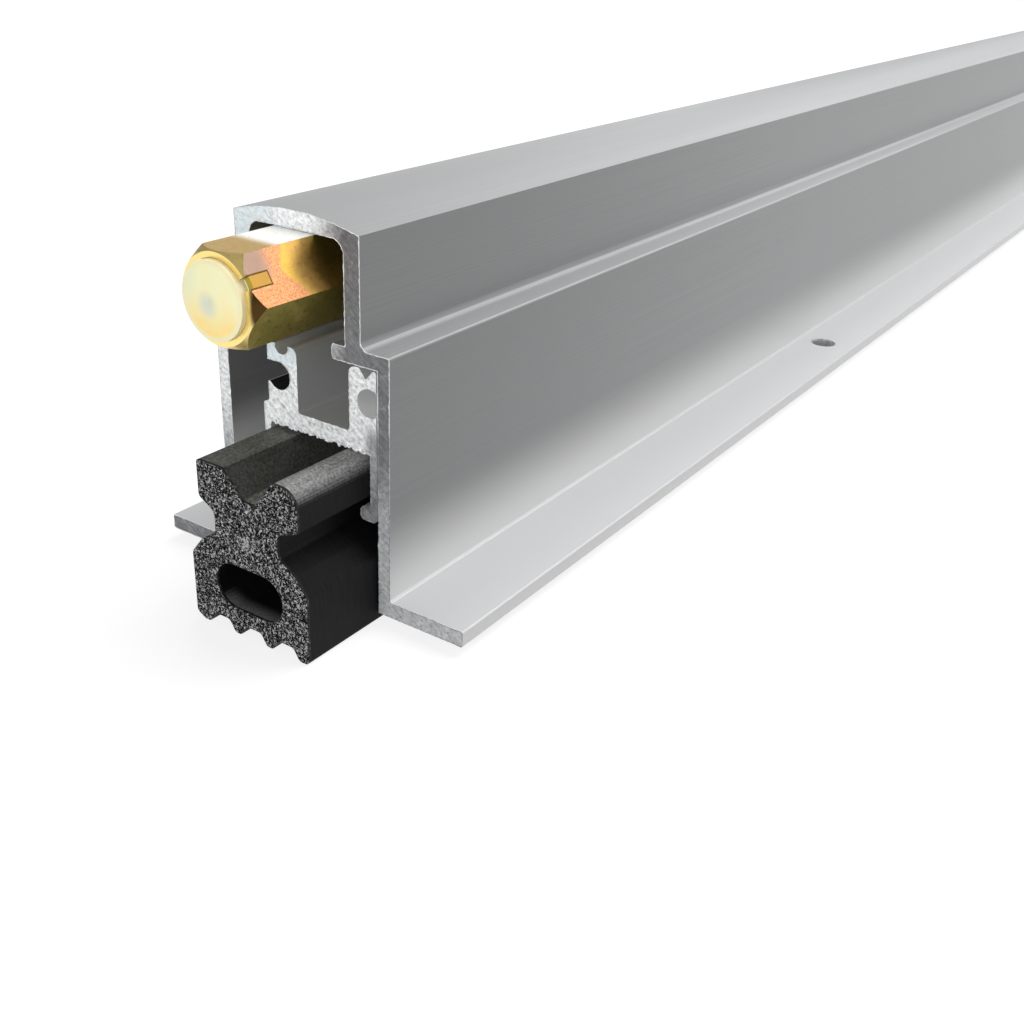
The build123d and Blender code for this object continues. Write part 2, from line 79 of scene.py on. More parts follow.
# The drop bar's two ports
PORT_RADIUS = 1.6
PORT_HEIGHT = 26.0
PORT_LEFT = 3.05
PORT_RIGHT = -9.55
PORT_MARGIN = 0.1
PORT_BLUR = 0.05

# Return springs of round wire
SPRING_WIRE = 0.9
SPRING_PITCH = 4.7
WIRE_SIDES = 14
STEPS_A_TURN = 30

# Rim that the saw raised round a cut, and the swarf along the lower edge of the drop bar's web
RIM_WIDTH = 0.08
RIM_HEIGHT = 0.1
RIM_WANDER = 0.07
RIM_STEP = 0.35
RIM_PASSES = 7
BURR_COUNT = 130
BURR_HEIGHT = 20.4
BURR_RIGHT = -10.2
BURR_LEFT = 4.0
BURR_STRAY = 0.2
BURR_SIZES = (0.1, 0.34)

# The one seed of all that is irregular
SEED = 5

# Finishes: bare metal's share in satin aluminium, the slant of the saw, and how far light goes in nylon
SATIN_METAL = 0.15
SAW_SLANT = (50, 0, 0)
NYLON_SCATTER = (1.0, 0.7, 0.4)

# The floor and the surround
FLOOR_SIZE = 6.0
FLOOR_PAINT = "#8c8c8c"
FLOOR_GLOW = 0.8
SURROUND = 0.18

# Each lamp's aim along X from the cut end, its place from there, its side, in metres, and its watts
AIM_HEIGHT = 0.02
LAMPS = {
    "top_lamp": (0.2, (0.5, -0.12, 1.0), 1.1, 16),
    "front_lamp": (0.0, (-0.76, -0.16, 0.14), 0.5, 6.3),
    "back_lamp": (0.2, (0.7, 0.8, 0.4), 0.9, 1.5),
    "side_lamp": (0.2, (0.55, -0.95, 0.4), 0.8, 5),
}

# The camera stands in front of the cut end, to the right and above
CAMERA_FROM_END = Vector((-88.943, -84.555, 72.840))
CAMERA_RIGHT = Vector((0.55722313, -0.82918223, 0.04426297))
CAMERA_UP = Vector((0.35372655, 0.28526123, 0.89078817))
SENSOR = 36.0
FOCAL_LENGTH = 42.325

# Sockets of a Mix node that mixes colours, and its settings
FACTOR, FIRST, SECOND = 0, 6, 7
IN_COLOUR = {"out": 2, "data_type": "RGBA"}

# Places read from the frame, in metres
hex_low, hex_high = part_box("plunger_hex")
seal_low, seal_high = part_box("seal_strip")
near_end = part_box("housing")[0].x
bar_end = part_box("drop_bar")[0].x
rod_height = (hex_low.z + hex_high.z) / 2

# The cut end, the front of the hexagon and the height of its axis, in millimetres for the materials
cut_end = near_end / MM
front = hex_low.x / MM
axis = rod_height / MM


def colour(text):
    """Linear colour of an sRGB hex value such as #c0c0c0"""
    channels = [int(text[i : i + 2], 16) / 255 for i in (1, 3, 5)]
    linear = [c / 12.92 if c <= 0.04045 else ((c + 0.055) / 1.055) ** 2.4 for c in channels]
    return (*linear, 1.0)


def per(size):
    """Repeats in a metre of a pattern whose real size is given in millimetres"""
    return 1 / (size * MM)


def add(tree, kind, inputs=None, out=0, stops=(), **settings):
    """Adds a node with its settings and links, and gives the chosen output

    Each input is a value, a hex colour or the socket that it is linked from, and the stops of a ramp
    are (place, hex colour)."""
    node = tree.nodes.new("ShaderNode" + kind)
    for name, value in settings.items():
        setattr(node, name, value)
    for index, (place, text) in enumerate(stops):
        elements = node.color_ramp.elements
        element = elements[index] if index < 2 else elements.new(place)
        element.position = place
        element.color = colour(text)
    for name, value in (inputs or {}).items():
        if isinstance(value, bpy.types.NodeSocket):
            tree.links.new(value, node.inputs[name])
        elif isinstance(value, str):
            node.inputs[name].default_value = colour(value)
        else:
            node.inputs[name].default_value = value
    return node.outputs[out]


def pattern(tree, size, detail=3.0, turn=(0, 0, 0), roughness=0.5):
    """Noise whose features have the given size along X, Y and Z, in millimetres, turned by degrees"""
    place = add(tree, "TexCoord", out="Object")
    angles = [math.radians(angle) for angle in turn]
    turned = add(tree, "Mapping", {"Vector": place, "Rotation": angles})
    scaled = add(tree, "Mapping", {"Vector": turned, "Scale": [per(length) for length in size]})
    return add(tree, "TexNoise", {"Vector": scaled, "Scale": 1.0, "Detail": detail, "Roughness": roughness})


def rise(tree, along, start, end, low=0.0, high=1.0):
    """Mask that goes smoothly from low to high as X, Y or Z goes from start to end, in millimetres

    Where high is another mask, this one lies within it."""
    place = add(tree, "TexCoord", out="Object")
    value = add(tree, "SeparateXYZ", {0: place}, out=along)
    inputs = {"Value": value, "From Min": start * MM, "From Max": end * MM, "To Min": low, "To Max": high}
    return add(tree, "MapRange", inputs, interpolation_type="SMOOTHSTEP")


def facing(tree, along, least, sign=1):
    """Mask of the faces whose normal has more than the least share along X, Y or Z

    A sign of 0 counts both ways along it."""
    normal = add(tree, "NewGeometry", out="True Normal")
    share = add(tree, "SeparateXYZ", {0: normal}, out=along)
    if sign == 0:
        share = add(tree, "Math", {0: share}, operation="ABSOLUTE")
    else:
        share = add(tree, "Math", {0: share, 1: sign}, operation="MULTIPLY")
    return add(tree, "Math", {0: share, 1: least}, operation="GREATER_THAN")


def beyond(tree, radius, blur, across=0.0, height=axis):
    """Mask of what lies beyond a radius, in millimetres, from the plunger's axis or another line along X"""
    centre = Vector((0, across * MM, height * MM))
    place = add(tree, "TexCoord", out="Object")
    flat = add(tree, "VectorMath", {0: place, 1: (0, 1, 1)}, operation="MULTIPLY")
    away = add(tree, "VectorMath", {0: flat, 1: centre}, out="Value", operation="DISTANCE")
    inputs = {"Value": away, "From Min": (radius - blur) * MM, "From Max": (radius + blur) * MM}
    return add(tree, "MapRange", inputs, interpolation_type="SMOOTHSTEP")


def material(name, values):
    """New material, its tree and its shader's sockets, with values that are the same all over"""
    made = bpy.data.materials.new(name)
    made.use_nodes = True
    tree = made.node_tree
    shader = next(node for node in tree.nodes if node.type == "BSDF_PRINCIPLED").inputs
    for socket, value in values.items():
        shader[socket].default_value = value
    return made, tree, shader


def extruded_aluminium(name, light, dark, bluish, light_and_shade, cut_shade):
    """Extruded aluminium, satin from the die with fine lines along it; its sawn ends are bright and scratched

    Three functions tell where the cut is bluish, where light and shade are painted on the skin, and where the
    cut is painted darker as shade."""
    made, tree, shader = material(name, {"Metallic": SATIN_METAL, "Specular IOR Level": 0.3})
    lines = pattern(tree, (90, 0.25, 0.25), detail=4)
    clouds = pattern(tree, (14, 5, 5))
    drawn = add(tree, "ValToRGB", {"Fac": lines}, stops=[(0.3, dark), (0.7, light)])
    share = add(tree, "MapRange", {"Value": clouds, "To Max": 0.3})
    skin = add(tree, "Mix", {FACTOR: share, FIRST: drawn, SECOND: light}, **IN_COLOUR)
    # The skin's painted light and shade
    skin = light_and_shade(tree, skin)

    # The cut: scratches of the saw's teeth and greyer blotches
    scratches = pattern(tree, (1, 0.11, 3.5), detail=5, turn=SAW_SLANT, roughness=0.65)
    blotches = pattern(tree, (1, 0.45, 0.6), detail=6, turn=SAW_SLANT, roughness=0.75)
    patches = pattern(tree, (1, 2.0, 1.2), detail=3, turn=(25, 0, 0), roughness=0.6)
    bright = add(tree, "ValToRGB", {"Fac": scratches},
                 stops=[(0.3, "#b4bac2"), (0.45, "#dfe3e6"), (0.62, "#fbfcfd")])
    grey = add(tree, "ValToRGB", {"Fac": blotches},
               stops=[(0.34, "#76797c"), (0.47, "#d2d5d6"), (0.6, "#ffffff")])
    share = add(tree, "MapRange", {"Value": patches, "To Min": -0.5, "To Max": 1.0})
    cut = add(tree, "Mix", {FACTOR: share, FIRST: grey, SECOND: bright}, **IN_COLOUR)

    # A bluish bloom on part of it
    share = add(tree, "MapRange", {"Value": scratches, "To Max": 0.8})
    blue = add(tree, "Mix", {FACTOR: share, FIRST: "#ecfff9", SECOND: "#b4c2e2"}, **IN_COLOUR)
    ragged = add(tree, "MapRange", {"Value": patches, "To Min": 0.2, "To Max": 1.0})
    share = add(tree, "Math", {0: bluish(tree), 1: ragged}, operation="MULTIPLY")
    cut = add(tree, "Mix", {FACTOR: share, FIRST: cut, SECOND: blue}, **IN_COLOUR)

    # Darker metal, with the saw's lines in it, painted on the cut as shade
    painted_light = add(tree, "ValToRGB", {"Fac": blotches},
               stops=[(0.3, "#3c3d40"), (0.48, "#66676a"), (0.66, "#8b8c8f")])
    lined = add(tree, "ValToRGB", {"Fac": scratches},
                stops=[(0.34, "#47484b"), (0.5, "#6e6f72"), (0.68, "#a4a5a7")])
    painted_light = add(tree, "Mix", {FACTOR: patches, FIRST: painted_light, SECOND: lined}, **IN_COLOUR)
    ragged = add(tree, "MapRange", {"Value": patches, "To Min": 0.6, "To Max": 1.5})
    share = add(tree, "Math", {0: cut_shade(tree), 1: ragged}, operation="MULTIPLY", use_clamp=True)
    cut = add(tree, "Mix", {FACTOR: share, FIRST: cut, SECOND: painted_light}, **IN_COLOUR)

    ends = facing(tree, "X", 0.75, 0)
    shade = add(tree, "Mix", {FACTOR: ends, FIRST: skin, SECOND: cut}, **IN_COLOUR)
    tree.links.new(shade, shader["Base Color"])
    satin = add(tree, "MapRange", {"Value": lines, "To Min": 0.38, "To Max": 0.48})
    sawn = add(tree, "MapRange", {"Value": scratches, "To Min": 0.35, "To Max": 0.65})
    rough = add(tree, "Mix", {FACTOR: ends, FIRST: satin, SECOND: sawn}, **IN_COLOUR)
    tree.links.new(rough, shader["Roughness"])
    fine = add(tree, "MapRange", {"Value": lines, "To Max": 0.012})
    coarse = add(tree, "Mix", {FACTOR: 0.5, FIRST: blotches, SECOND: patches}, **IN_COLOUR)
    height = add(tree, "Mix", {FACTOR: ends, FIRST: fine, SECOND: coarse}, **IN_COLOUR)
    bump = add(tree, "Bump", {"Height": height, "Distance": 0.08 * MM, "Strength": 1.0})
    tree.links.new(bump, shader["Normal"])
    return made


def housing_light_and_shade(tree, skin):
    """Painted shade near the cut end and on its flanks, painted light on the wings, the flanks' foot and
    inside
    """
    # Painted shade: darker near the cut end, lighter further along
    unshaded = rise(tree, "X", cut_end - 40, cut_end + 130)
    near_shade = add(tree, "Mix", {FACTOR: unshaded, FIRST: "#d4d4d4", SECOND: "#ffffff"}, **IN_COLOUR)
    skin = add(tree, "Mix", {FACTOR: 1.0, FIRST: skin, SECOND: near_shade}, blend_type="MULTIPLY", **IN_COLOUR)
    # Painted light: the tops of the wings a lighter grey
    wings = rise(tree, "Z", 9.0, 6.0, high=facing(tree, "Z", 0.75))
    skin = add(tree, "Mix", {FACTOR: wings, FIRST: skin, SECOND: "#cacbcc"}, **IN_COLOUR)
    # Painted shade: the flanks darker
    flank_shade = {FACTOR: 1.0, FIRST: skin, SECOND: "#d6d6d6"}
    flank = add(tree, "Mix", flank_shade, blend_type="MULTIPLY", **IN_COLOUR)
    # Painted light: the flanks lighter towards their foot
    foot = rise(tree, "Z", 15.0, 3.0)
    flank = add(tree, "Mix", {FACTOR: foot, FIRST: flank, SECOND: "#d6d6d6"}, **IN_COLOUR)
    # Painted light low on the inner face of the left wall
    inside = rise(tree, "Y", 5.0, 8.0, high=facing(tree, "Y", 0.75, -1))
    pale = rise(tree, "Z", 22.0, 14.0, high=inside)
    flank = add(tree, "Mix", {FACTOR: pale, FIRST: flank, SECOND: "#ffffff"}, **IN_COLOUR)
    sides = facing(tree, "Y", 0.75, 0)
    return add(tree, "Mix", {FACTOR: sides, FIRST: skin, SECOND: flank}, **IN_COLOUR)


def bar_light_and_shade(tree, skin):
    """The drop bar's painted shade in its channel and inside its left port, and painted light inside its
    right port
    """
    # Painted shade: darker in the channel above the web
    above_web = rise(tree, "Z", 22.0, 22.2)
    channel = rise(tree, "Y", 0.8, 0.5, high=rise(tree, "Y", -6.7, -6.3, high=above_web))
    skin = add(tree, "Mix", {FACTOR: channel, FIRST: skin, SECOND: "#b9babb"}, **IN_COLOUR)
    # The left port's inside is painted dark as shade, the right port's white as light
    for across, inside in ((PORT_LEFT, "#2a2a2c"), (PORT_RIGHT, "#fafafa")):
        outside = beyond(tree, PORT_RADIUS + PORT_MARGIN, PORT_BLUR, across, PORT_HEIGHT)
        skin = add(tree, "Mix", {FACTOR: outside, FIRST: inside, SECOND: skin}, **IN_COLOUR)
    return skin


def housing_bloom(tree):
    """A bluish bloom on the cut at the upper left corner"""
    return rise(tree, "Y", 1.0, 6.0, high=rise(tree, "Z", 34.0, 40.0))


def bar_bloom(tree):
    """A bluish bloom on the cut at the top of the left upright"""
    return rise(tree, "Y", 0.0, 0.6, high=rise(tree, "Z", 27.0, 28.5))


def housing_cut_shade(tree):
    """Painted shade on the housing's cut: darker on the right wall, and at the foot of both walls with the
    wings
    """
    upper = rise(tree, "Y", -2.0, -7.0)
    lower = rise(tree, "Y", -2.0, -7.0, 0.95, 0.55)
    return add(tree, "Mix", {FACTOR: rise(tree, "Z", 24.0, 10.0), FIRST: upper, SECOND: lower}, **IN_COLOUR)


def bar_cut_shade(tree):
    """Painted shade on the drop bar's cut: darker on the right leg, most of all at its hook"""
    leg = rise(tree, "Y", -6.0, -7.0, high=rise(tree, "Z", 20.6, 16.0, high=0.85))
    corner = rise(tree, "Y", -8.4, -9.8, high=rise(tree, "Z", 24.5, 21.5, high=0.75))
    return add(tree, "Math", {0: leg, 1: corner}, operation="MAXIMUM")


def copper_reach(tree):
    """Mask of the coppery bloom behind the hexagon's front; it reaches further back at the flat's sides"""
    low = rise(tree, "Z", axis + 2.8, axis, 5.0, 7.2)
    high = rise(tree, "Z", axis + 2.8, axis + 4.8, 5.0, 6.0)
    reach = add(tree, "Math", {0: low, 1: high}, operation="MAXIMUM")
    along = add(tree, "SeparateXYZ", {0: add(tree, "TexCoord", out="Object")}, out="X")
    ahead = add(tree, "Math", {0: along, 1: -per(1), 2: front}, operation="MULTIPLY_ADD")
    left_over = add(tree, "Math", {0: reach, 1: ahead}, operation="ADD")
    return add(tree, "MapRange", {"Value": left_over, "From Min": -0.2, "From Max": 0.25})


def key_slot(tree, flat):
    """Mask of the slot that the key lies in, on the flat"""
    tilt = math.radians(KEY_ANGLE)
    place = add(tree, "TexCoord", out="Object")
    middle = add(tree, "VectorMath", {0: place, 1: (0, 0, rod_height)}, operation="SUBTRACT")
    side = add(tree, "VectorMath", {0: middle, 1: (0, math.sin(tilt), math.cos(tilt))}, out="Value",
               operation="DOT_PRODUCT")
    away = add(tree, "Math", {0: side}, operation="ABSOLUTE")
    within = rise(tree, "X", front + KEY_REACH + SLOT_GAP, front + KEY_REACH + SLOT_EDGE, high=flat)
    half = KEY_WIDTH / 2
    inputs = {"Value": away, "From Min": (half + SLOT_GAP) * MM, "From Max": (half + SLOT_EDGE) * MM}
    return add(tree, "MapRange", {**inputs, "To Max": within})


def drawn_brass():
    """Drawn hexagon brass: yellow with draw lines, a coppery bloom on one flat, and a painted reflection on
    top
    """
    made, tree, shader = material("drawn_brass", {})
    draw = pattern(tree, (9, 0.18, 0.18), detail=4)
    spots = pattern(tree, (0.5, 0.5, 0.5), detail=5)
    grains = pattern(tree, (0.16, 0.16, 0.16), roughness=0.7)
    tone = add(tree, "ValToRGB", {"Fac": draw}, stops=[(0.2, "#c39c41"), (0.8, "#d8b458")])
    share = add(tree, "MapRange", {"Value": spots, "To Min": -0.2, "To Max": 0.6})
    yellow = add(tree, "Mix", {FACTOR: share, FIRST: tone, SECOND: "#b98a35"}, **IN_COLOUR)

    # The flat seen beside the nose: a coppery bloom, a brown band and painted shade; the flats below: olive
    # painted shade
    flat = add(tree, "Math", {0: facing(tree, "Y", 0.8, -1), 1: facing(tree, "Z", 0.3)}, operation="MULTIPLY")
    ended = rise(tree, "X", front + 16.0, front + 13.0)
    copper = add(tree, "ValToRGB", {"Fac": grains}, stops=[(0.35, "#a8663a"), (0.65, "#dca274")])
    upper = rise(tree, "Z", axis + 1.9, axis + 3.1, high=rise(tree, "X", front + 4.6, front + 2.4))
    copper = add(tree, "Mix", {FACTOR: upper, FIRST: copper, SECOND: "#957a6a"}, **IN_COLOUR)
    reach = copper_reach(tree)
    bloom = add(tree, "Math", {0: flat, 1: reach}, operation="MULTIPLY")
    # Painted reflection: the back of the top flat painted near white
    painted_light = rise(tree, "X", front + 4.4, front + 6.4, high=ended)
    painted_light = add(tree, "Math", {0: facing(tree, "Z", 0.9), 1: painted_light}, operation="MULTIPLY")
    back = rise(tree, "X", front + 5.6, front + 7.2, high=ended)
    back = add(tree, "Math", {0: flat, 1: back}, operation="MULTIPLY")
    back = add(tree, "Math", {0: back, 1: reach}, operation="SUBTRACT", use_clamp=True)
    share = add(tree, "MapRange", {"Value": spots, "To Min": -0.2, "To Max": 1.2})
    bronze = add(tree, "Mix", {FACTOR: share, FIRST: "#b08848", SECOND: "#c9a052"}, **IN_COLOUR)
    # Painted shade at the back of the flat, near the housing
    painted_shade = rise(tree, "X", front + 8.6, front + 11.5, high=ended)
    painted_shade = rise(tree, "Z", axis - 0.5, axis + 3.2, high=painted_shade)
    painted_shade = add(tree, "Math", {0: flat, 1: painted_shade}, operation="MULTIPLY")
    # Olive painted shade for the lower flats
    share = add(tree, "MapRange", {"Value": spots, "To Min": -0.3, "To Max": 1.2})
    olive_shade = add(tree, "Mix", {FACTOR: share, FIRST: "#9c8f44", SECOND: "#bda94c"}, **IN_COLOUR)

    # The chamfer is painted pale as a highlight, as are faces leaning forward above the axis, and dark brown
    # as shade at its right corner
    chamfer = facing(tree, "X", 0.3, -1)
    bevel = add(tree, "Math", {0: facing(tree, "X", 0.05, -1), 1: rise(tree, "Z", axis - 0.6, axis + 0.6)},
                operation="MULTIPLY")
    corner = rise(tree, "Y", -4.2, -4.7, high=chamfer)

    shade = yellow
    layers = [(bloom, copper), (painted_light, "#fffef8"), (back, bronze), (painted_shade, "#7c6e2c"),
              (facing(tree, "Z", 0.3, -1), olive_shade), (key_slot(tree, flat), "#5a3c14"), (bevel, "#ffe07e"),
              (chamfer, "#ffe493"), (corner, "#4b3516")]
    for mask, over in layers:
        shade = add(tree, "Mix", {FACTOR: mask, FIRST: shade, SECOND: over}, **IN_COLOUR)
    tree.links.new(shade, shader["Base Color"])
    # Metallic except where the reflection is painted
    metal = add(tree, "MapRange", {"Value": painted_light, "To Min": 0.85, "To Max": 0.1})
    tree.links.new(metal, shader["Metallic"])
    rough = add(tree, "MapRange", {"Value": spots, "To Min": 0.2, "To Max": 0.42})
    tree.links.new(rough, shader["Roughness"])
    bump = add(tree, "Bump", {"Height": grains, "Distance": 0.006 * MM, "Strength": 1.0})
    tree.links.new(bump, shader["Normal"])
    return made


def steel(name, light, dark, roughness, grain):
    """Drawn or plated steel: fine grain along the piece"""
    made, tree, shader = material(name, {"Metallic": 1.0, "Roughness": roughness})
    lines = pattern(tree, grain, detail=4)
    shade = add(tree, "ValToRGB", {"Fac": lines}, stops=[(0.3, dark), (0.7, light)])
    tree.links.new(shade, shader["Base Color"])
    bump = add(tree, "Bump", {"Height": lines, "Distance": 0.01 * MM, "Strength": 1.0})
    tree.links.new(bump, shader["Normal"])
    return made


def moulded_nylon(name, roughness, see_through, depth):
    """Moulded nylon without its colour: waxy and slightly see-through, with a fine grain"""
    values = {"Roughness": roughness, "Subsurface Weight": see_through, "Subsurface Scale": depth * MM}
    made, tree, shader = material(name, {**values, "Subsurface Radius": NYLON_SCATTER})
    grain = pattern(tree, (0.2, 0.2, 0.2))
    bump = add(tree, "Bump", {"Height": grain, "Distance": 0.01 * MM, "Strength": 1.0})
    tree.links.new(bump, shader["Normal"])
    return made, tree, shader


def white_nylon():
    """White nylon with faint flow clouds"""
    made, tree, shader = moulded_nylon("white_nylon", 0.38, 0.2, 0.5)
    clouds = pattern(tree, (2.5, 2.5, 2.5))
    shade = add(tree, "ValToRGB", {"Fac": clouds}, stops=[(0.3, "#dcdcd4"), (0.7, "#e8e8e2")])
    tree.links.new(shade, shader["Base Color"])
    return made


def nose_nylon():
    """Natural nylon of the nose: pale at its top, yellow below, cloudy at the gate; its key is amber, painted
    olive as shade in front
    """
    made, tree, shader = moulded_nylon("natural_nylon", 0.34, 0.15, 0.6)
    clouds = pattern(tree, (1.6, 1.6, 1.6))
    share = add(tree, "MapRange", {"Value": clouds, "To Min": -0.3, "To Max": 0.3})
    down = add(tree, "Math", {0: rise(tree, "Z", axis + 1.5, axis - 4.0), 1: share}, operation="ADD",
               use_clamp=True)
    shade = add(tree, "Mix", {FACTOR: down, FIRST: "#f3f1c4", SECOND: "#ffdf8a"}, **IN_COLOUR)
    left = rise(tree, "Y", 1.0, 4.2, high=rise(tree, "Z", axis - 2.0, axis + 3.0))
    shade = add(tree, "Mix", {FACTOR: left, FIRST: shade, SECOND: "#dfe7c8"}, **IN_COLOUR)
    gate = beyond(tree, 1.0, 0.8, 0.3, axis - 0.4)
    shade = add(tree, "Mix", {FACTOR: gate, FIRST: "#d6dcc6", SECOND: shade}, **IN_COLOUR)
    rim = beyond(tree, 3.55, 0.2)
    shade = add(tree, "Mix", {FACTOR: rim, FIRST: shade, SECOND: "#f2e9bd"}, **IN_COLOUR)
    # The key's front face is painted olive as shade
    before = facing(tree, "X", 0.5, -1)
    key = add(tree, "Mix", {FACTOR: before, FIRST: "#d49c14", SECOND: "#a3923a"}, **IN_COLOUR)
    outside = beyond(tree, 4.1, 0.02)
    shade = add(tree, "Mix", {FACTOR: outside, FIRST: shade, SECOND: key}, **IN_COLOUR)
    tree.links.new(shade, shader["Base Color"])
    return made


def sponge_rubber():
    """Extruded sponge rubber: a matte black skin, rubbed and dusty on top, with open grey cells where cut

    The right lobe has a painted sheen, and the pits of the cells are painted dark as shade.
    """
    made, tree, shader = material("sponge_rubber", {"Roughness": 0.62, "Specular IOR Level": 0.15})
    near, far, deep = seal_low.x / MM, seal_high.x / MM, CELL_DEPTH + 0.02
    marks = pattern(tree, (0.22, 3, 3), detail=4)
    grit = pattern(tree, (0.3, 0.3, 0.3), detail=5, roughness=0.75)
    flow = pattern(tree, (8, 0.6, 0.6))
    skin = add(tree, "ValToRGB", {"Fac": marks}, stops=[(0.35, "#050505"), (0.75, "#121212")])

    # Dust lies where the skin faces up; round the right lobe a painted sheen, lighter and neutral, reaches
    # further
    normal = add(tree, "NewGeometry", out="Normal")
    up = add(tree, "SeparateXYZ", {0: normal}, out="Z")
    least = rise(tree, "Y", -2.5, -5.0, 0.52, 0.1)
    level = add(tree, "MapRange", {"Value": up, "From Min": least, "From Max": 0.97},
                interpolation_type="SMOOTHSTEP")
    gritty = add(tree, "MapRange", {"Value": grit, "To Min": -0.7, "To Max": 2.1})
    flowing = add(tree, "MapRange", {"Value": flow, "To Min": 0.5, "To Max": 1.2})
    dust_and_sheen = add(tree, "Math", {0: gritty, 1: flowing}, operation="MULTIPLY")
    lobes = rise(tree, "Z", 13.2, 15.0, high=level)
    dust_and_sheen = add(tree, "Math", {0: dust_and_sheen, 1: lobes}, operation="MULTIPLY", use_clamp=True)
    # The right lobe's lighter neutral grey is a painted sheen; the left lobe's olive grey is dust
    right = rise(tree, "Y", -2.5, -5.0)
    dust_and_sheen_colour = add(tree, "Mix", {FACTOR: right, FIRST: "#8c8c85", SECOND: "#bababa"}, **IN_COLOUR)
    skin = add(tree, "Mix", {FACTOR: dust_and_sheen, FIRST: skin, SECOND: dust_and_sheen_colour}, **IN_COLOUR)

    # Grit on the floor of the hollow near the end, and a few pale specks
    floor = rise(tree, "Z", 6.0, 4.5, high=rise(tree, "X", near + 2.6, near + 0.2, high=level))
    gritty = add(tree, "MapRange", {"Value": grit, "To Max": 1.2})
    floor = add(tree, "Math", {0: floor, 1: gritty}, operation="MULTIPLY")
    skin = add(tree, "Mix", {FACTOR: floor, FIRST: skin, SECOND: "#8a8a8a"}, **IN_COLOUR)
    specks = add(tree, "MapRange", {"Value": grit, "From Min": 0.66, "From Max": 0.72, "To Max": level})
    specks = add(tree, "Math", {0: specks, 1: rise(tree, "Z", 13.2, 15.0, 0.15, 0.7)}, operation="MULTIPLY")
    skin = add(tree, "Mix", {FACTOR: specks, FIRST: skin, SECOND: "#bcbcbc"}, **IN_COLOUR)

    # Grey cell walls, with the pits painted dark as shade
    walls = add(tree, "Attribute", out="Fac", attribute_name="cell_wall")
    cut = add(tree, "ValToRGB", {"Fac": walls},
              stops=[(0.3, "#030303"), (0.6, "#262626"), (0.88, "#c4c4c4")])
    first = rise(tree, "X", near + deep + 0.01, near + deep)
    last = rise(tree, "X", far - deep - 0.01, far - deep)
    ends = add(tree, "Math", {0: first, 1: last}, operation="MAXIMUM")
    shade = add(tree, "Mix", {FACTOR: ends, FIRST: skin, SECOND: cut}, **IN_COLOUR)
    tree.links.new(shade, shader["Base Color"])
    rubbed = add(tree, "MapRange", {"Value": marks, "To Max": 0.2})
    height = add(tree, "Mix", {FACTOR: ends, FIRST: rubbed, SECOND: grit}, **IN_COLOUR)
    bump = add(tree, "Bump", {"Height": height, "Distance": 0.08 * MM, "Strength": 1.0})
    tree.links.new(bump, shader["Normal"])
    return made


MATERIALS = {
    "satin_aluminium": extruded_aluminium("satin_aluminium", "#bcbdbe", "#b2b3b4", housing_bloom,
                                          housing_light_and_shade, housing_cut_shade),
    "mill_aluminium": extruded_aluminium("mill_aluminium", "#d4d4d5", "#c4c5c7", bar_bloom,
                                         bar_light_and_shade, bar_cut_shade),
    "brass": drawn_brass(),
    "bright_steel": steel("drawn_steel", "#b4b5b8", "#96979a", 0.28, (20, 0.2, 0.2)),
    "dark_steel": steel("oxide_steel", "#3a3a3c", "#262628", 0.45, (1, 1, 1)),
    "spring_steel": steel("spring_steel", "#8d8e92", "#6f7074", 0.35, (1, 1, 1)),
    "zinc_steel": steel("zinc_plated_steel", "#c0c3c8", "#a4a8ae", 0.36, (3, 3, 3)),
    "white_nylon": white_nylon(),
    "natural_nylon": nose_nylon(),
    "sponge_rubber": sponge_rubber(),
}


def dress_nodes():
    """Gives every CAD node the material of its slot"""
    for part in frame["record"]["subparts"]:
        node = frame["nodes"][part["node"]]
        node.data.materials.clear()
        node.data.materials.append(MATERIALS[part["material_slot"]])


def new_piece(name, shape, slot, body):
    """Object from a finished bmesh, with the material of its slot, riding on its body"""
    mesh = bpy.data.meshes.new(name)
    shape.to_mesh(mesh)
    shape.free()
    mesh.materials.append(MATERIALS[slot])
    piece = bpy.data.objects.new(name, mesh)
    bpy.context.scene.collection.objects.link(piece)
    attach(piece, body)
    return piece


def end_faces(shape, place):
    """Flat faces across X at a place along it"""
    return [face for face in shape.faces
            if abs(face.normal.x) > 0.99 and abs(face.calc_center_median().x - place) < MM]


def cut_squares(shape, faces, step):
    """Divides a cut end into squares of the given step, its outline kept"""
    geometry = list(dict.fromkeys(part for face in faces for part in (face, *face.edges, *face.verts)))
    for number in (1, 2):
        places = [vertex.co[number] for face in faces if face.is_valid for vertex in face.verts]
        low, high = (min(places), max(places)) if number == 1 else (seal_low.z, seal_high.z)
        normal = Vector((0, number == 1, number == 2))
        for count in range(1, round((high - low) / step)):
            point = normal * (low + count * step)
            found = bmesh.ops.bisect_plane(shape, geom=geometry, dist=1e-8, plane_co=point, plane_no=normal)
            geometry = found["geom"]
    return [part for part in geometry if isinstance(part, bmesh.types.BMFace)]


